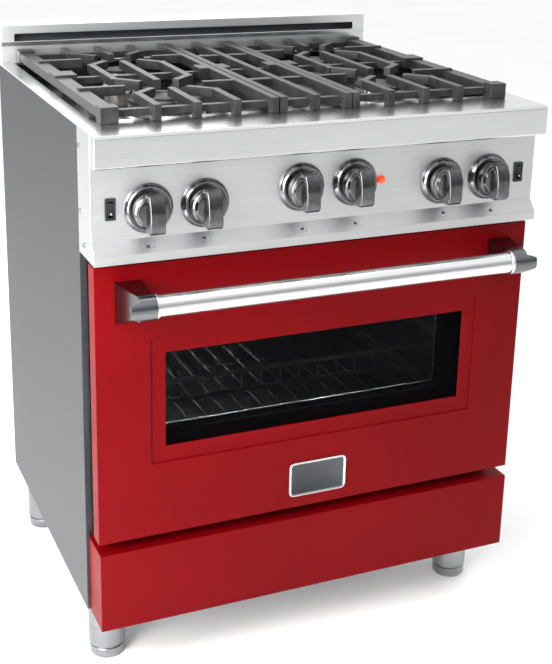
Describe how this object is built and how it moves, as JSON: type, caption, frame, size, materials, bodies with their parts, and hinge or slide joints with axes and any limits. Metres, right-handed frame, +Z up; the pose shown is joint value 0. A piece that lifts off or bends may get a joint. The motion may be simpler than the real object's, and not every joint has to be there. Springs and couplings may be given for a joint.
{
  "type": "freestanding gas range",
  "caption": "Freestanding gas range: stainless body with cast iron grates over burners, a row of knobs, a red oven door with window and pull-bar, red kick panel and round legs.",
  "frame": {"origin": "bottom centre of the bounding box, on the floor under the four legs", "axes": "+Z up, +X to the cook's right, +Y from the door towards the wall behind"},
  "size_m": [0.762, 0.7802, 0.998],
  "materials": {
    "brushed_stainless": "fine brushed stainless sheet, grain along the panel",
    "polished_stainless": "fine satin-polished stainless",
    "red_enamel": "gloss red baked enamel",
    "galvanised_steel": "dull galvanised sheet with faint spangle",
    "oven_porcelain": "dark speckled porcelain enamel",
    "gasket_braid": "woven glass-fibre braid",
    "broiler_steel": "heat-tinted steel",
    "lamp_glass": "ribbed clear glass",
    "valve_brass": "turned brass",
    "black_porcelain": "gloss black porcelain enamel",
    "burner_alloy": "cast aluminium, lightly machined",
    "cap_enamel": "matt dark enamel on forged steel",
    "cast_iron": "matt enamelled cast iron, fine sand texture",
    "satin_chrome": "satin chrome over cast zinc",
    "bezel_chrome": "bright turned chrome",
    "switch_plastic": "moulded black nylon",
    "indicator_lens": "translucent orange lens",
    "window_glass": "dark tinted oven-door glass",
    "badge_metal": "blank plate, bright rim round a dark grey field",
    "rack_chrome": "bright chromed wire",
    "leg_steel": "satin steel tube"
  },
  "bodies": {
    "cabinet": {"side_panel_left": "brushed_stainless", "side_panel_right": "brushed_stainless", "cooktop_deck": "brushed_stainless", "backguard": "brushed_stainless", "control_panel": "brushed_stainless", "rear_panel": "galvanised_steel", "base_pan": "galvanised_steel", "door_hinge_left": "galvanised_steel", "door_hinge_right": "galvanised_steel", "oven_liner": "oven_porcelain", "fan_cover": "oven_porcelain", "oven_gasket": "gasket_braid", "broil_burner": "broiler_steel", "oven_lamp": "lamp_glass", "gas_manifold": "valve_brass", "burner_pan": "black_porcelain", "burner_head_front_left": "burner_alloy", "burner_head_front_right": "burner_alloy", "burner_head_rear_left": "burner_alloy", "burner_head_rear_right": "burner_alloy", "knob_bezel_1": "bezel_chrome", "knob_bezel_2": "bezel_chrome", "knob_bezel_3": "bezel_chrome", "knob_bezel_4": "bezel_chrome", "knob_bezel_5": "bezel_chrome", "knob_bezel_6": "bezel_chrome", "switch_housing_left": "switch_plastic", "switch_housing_right": "switch_plastic", "indicator_lamp": "indicator_lens", "kick_panel": "red_enamel"},
    "door": {"door_shell": "red_enamel", "door_inner_panel": "brushed_stainless", "window_glass_outer": "window_glass", "window_glass_inner": "window_glass", "handle_bar": "polished_stainless", "handle_bracket_left": "polished_stainless", "handle_bracket_right": "polished_stainless", "badge_plate": "badge_metal"},
    "convection_fan": {"convection_fan": "galvanised_steel"},
    "knob_1": {"knob_1": "satin_chrome"},
    "knob_2": {"knob_2": "satin_chrome"},
    "knob_3": {"knob_3": "satin_chrome"},
    "knob_4": {"knob_4": "satin_chrome"},
    "knob_5": {"knob_5": "satin_chrome"},
    "knob_6": {"knob_6": "satin_chrome"},
    "rocker_left": {"rocker_left": "switch_plastic"},
    "rocker_right": {"rocker_right": "switch_plastic"},
    "oven_rack_upper": {"oven_rack_upper": "rack_chrome"},
    "oven_rack_lower": {"oven_rack_lower": "rack_chrome"},
    "grate_left": {"grate_left": "cast_iron"},
    "grate_middle": {"grate_middle": "cast_iron"},
    "grate_right": {"grate_right": "cast_iron"},
    "burner_cap_front_left": {"burner_cap_front_left": "cap_enamel"},
    "burner_cap_front_right": {"burner_cap_front_right": "cap_enamel"},
    "burner_cap_rear_left": {"burner_cap_rear_left": "cap_enamel"},
    "burner_cap_rear_right": {"burner_cap_rear_right": "cap_enamel"},
    "leg_front_left": {"leg_front_left": "leg_steel"},
    "leg_front_right": {"leg_front_right": "leg_steel"},
    "leg_rear_left": {"leg_rear_left": "leg_steel"},
    "leg_rear_right": {"leg_rear_right": "leg_steel"}
  },
  "joints": [
    {"name": "door_hinge", "type": "hinge", "parent": "cabinet", "child": "door", "pos_m": [0, -0.28915, 0.276], "axis": [1, 0, 0], "range_deg": [0, 90], "stiffness_Nm_per_rad": 18, "springref_deg": -6.88},
    {"name": "knob_1_turn", "type": "hinge", "parent": "cabinet", "child": "knob_1", "pos_m": [-0.293, -0.32515, 0.812], "axis": [0, -1, 0], "range_deg": [0, 270]},
    {"name": "knob_2_turn", "type": "hinge", "parent": "cabinet", "child": "knob_2", "pos_m": [-0.204, -0.32515, 0.812], "axis": [0, -1, 0], "range_deg": [0, 270]},
    {"name": "knob_3_turn", "type": "hinge", "parent": "cabinet", "child": "knob_3", "pos_m": [-0.046, -0.32515, 0.823], "axis": [0, -1, 0], "range_deg": [0, 300]},
    {"name": "knob_4_turn", "type": "hinge", "parent": "cabinet", "child": "knob_4", "pos_m": [0.046, -0.32515, 0.823], "axis": [0, -1, 0], "range_deg": [0, 300]},
    {"name": "knob_5_turn", "type": "hinge", "parent": "cabinet", "child": "knob_5", "pos_m": [0.204, -0.32515, 0.812], "axis": [0, -1, 0], "range_deg": [0, 270]},
    {"name": "knob_6_turn", "type": "hinge", "parent": "cabinet", "child": "knob_6", "pos_m": [0.293, -0.32515, 0.812], "axis": [0, -1, 0], "range_deg": [0, 270]},
    {"name": "rocker_left_tip", "type": "hinge", "parent": "cabinet", "child": "rocker_left", "pos_m": [-0.351, -0.30415, 0.815], "axis": [1, 0, 0], "range_deg": [0, 16]},
    {"name": "rocker_right_tip", "type": "hinge", "parent": "cabinet", "child": "rocker_right", "pos_m": [0.351, -0.30415, 0.815], "axis": [1, 0, 0], "range_deg": [0, 16]},
    {"name": "fan_spin", "type": "hinge", "parent": "cabinet", "child": "convection_fan", "pos_m": [0, 0.20885, 0.5], "axis": [0, 1, 0], "continuous": true},
    {"name": "grate_left_lift", "type": "slide", "parent": "cabinet", "child": "grate_left", "axis": [0, 0, 1], "range_m": [0, 0.15]},
    {"name": "grate_middle_lift", "type": "slide", "parent": "cabinet", "child": "grate_middle", "axis": [0, 0, 1], "range_m": [0, 0.15]},
    {"name": "grate_right_lift", "type": "slide", "parent": "cabinet", "child": "grate_right", "axis": [0, 0, 1], "range_m": [0, 0.15]},
    {"name": "burner_cap_front_left_lift", "type": "slide", "parent": "cabinet", "child": "burner_cap_front_left", "axis": [0, 0, 1], "range_m": [0, 0.08]},
    {"name": "burner_cap_front_right_lift", "type": "slide", "parent": "cabinet", "child": "burner_cap_front_right", "axis": [0, 0, 1], "range_m": [0, 0.08]},
    {"name": "burner_cap_rear_left_lift", "type": "slide", "parent": "cabinet", "child": "burner_cap_rear_left", "axis": [0, 0, 1], "range_m": [0, 0.08]},
    {"name": "burner_cap_rear_right_lift", "type": "slide", "parent": "cabinet", "child": "burner_cap_rear_right", "axis": [0, 0, 1], "range_m": [0, 0.08]},
    {"name": "oven_rack_upper_slide", "type": "slide", "parent": "cabinet", "child": "oven_rack_upper", "axis": [0, -1, 0], "range_m": [0, 0.29]},
    {"name": "oven_rack_lower_slide", "type": "slide", "parent": "cabinet", "child": "oven_rack_lower", "axis": [0, -1, 0], "range_m": [0, 0.12]},
    {"name": "leg_front_left_screw", "type": "slide", "parent": "cabinet", "child": "leg_front_left", "axis": [0, 0, -1], "range_m": [0, 0.038]},
    {"name": "leg_front_right_screw", "type": "slide", "parent": "cabinet", "child": "leg_front_right", "axis": [0, 0, -1], "range_m": [0, 0.038]},
    {"name": "leg_rear_left_screw", "type": "slide", "parent": "cabinet", "child": "leg_rear_left", "axis": [0, 0, -1], "range_m": [0, 0.038]},
    {"name": "leg_rear_right_screw", "type": "slide", "parent": "cabinet", "child": "leg_rear_right", "axis": [0, 0, -1], "range_m": [0, 0.038]}
  ],
  "couplings": [
    {"joint": "burner_cap_front_left_lift", "follows": "grate_left_lift", "ratio": 0.5},
    {"joint": "burner_cap_front_right_lift", "follows": "grate_right_lift", "ratio": 0.5},
    {"joint": "burner_cap_rear_left_lift", "follows": "grate_left_lift", "ratio": 0.5},
    {"joint": "burner_cap_rear_right_lift", "follows": "grate_right_lift", "ratio": 0.5},
    {"joint": "oven_rack_upper_slide", "follows": "door_hinge", "m_per_rad": 0.18},
    {"joint": "oven_rack_lower_slide", "follows": "door_hinge", "m_per_rad": 0.07}
  ]
}
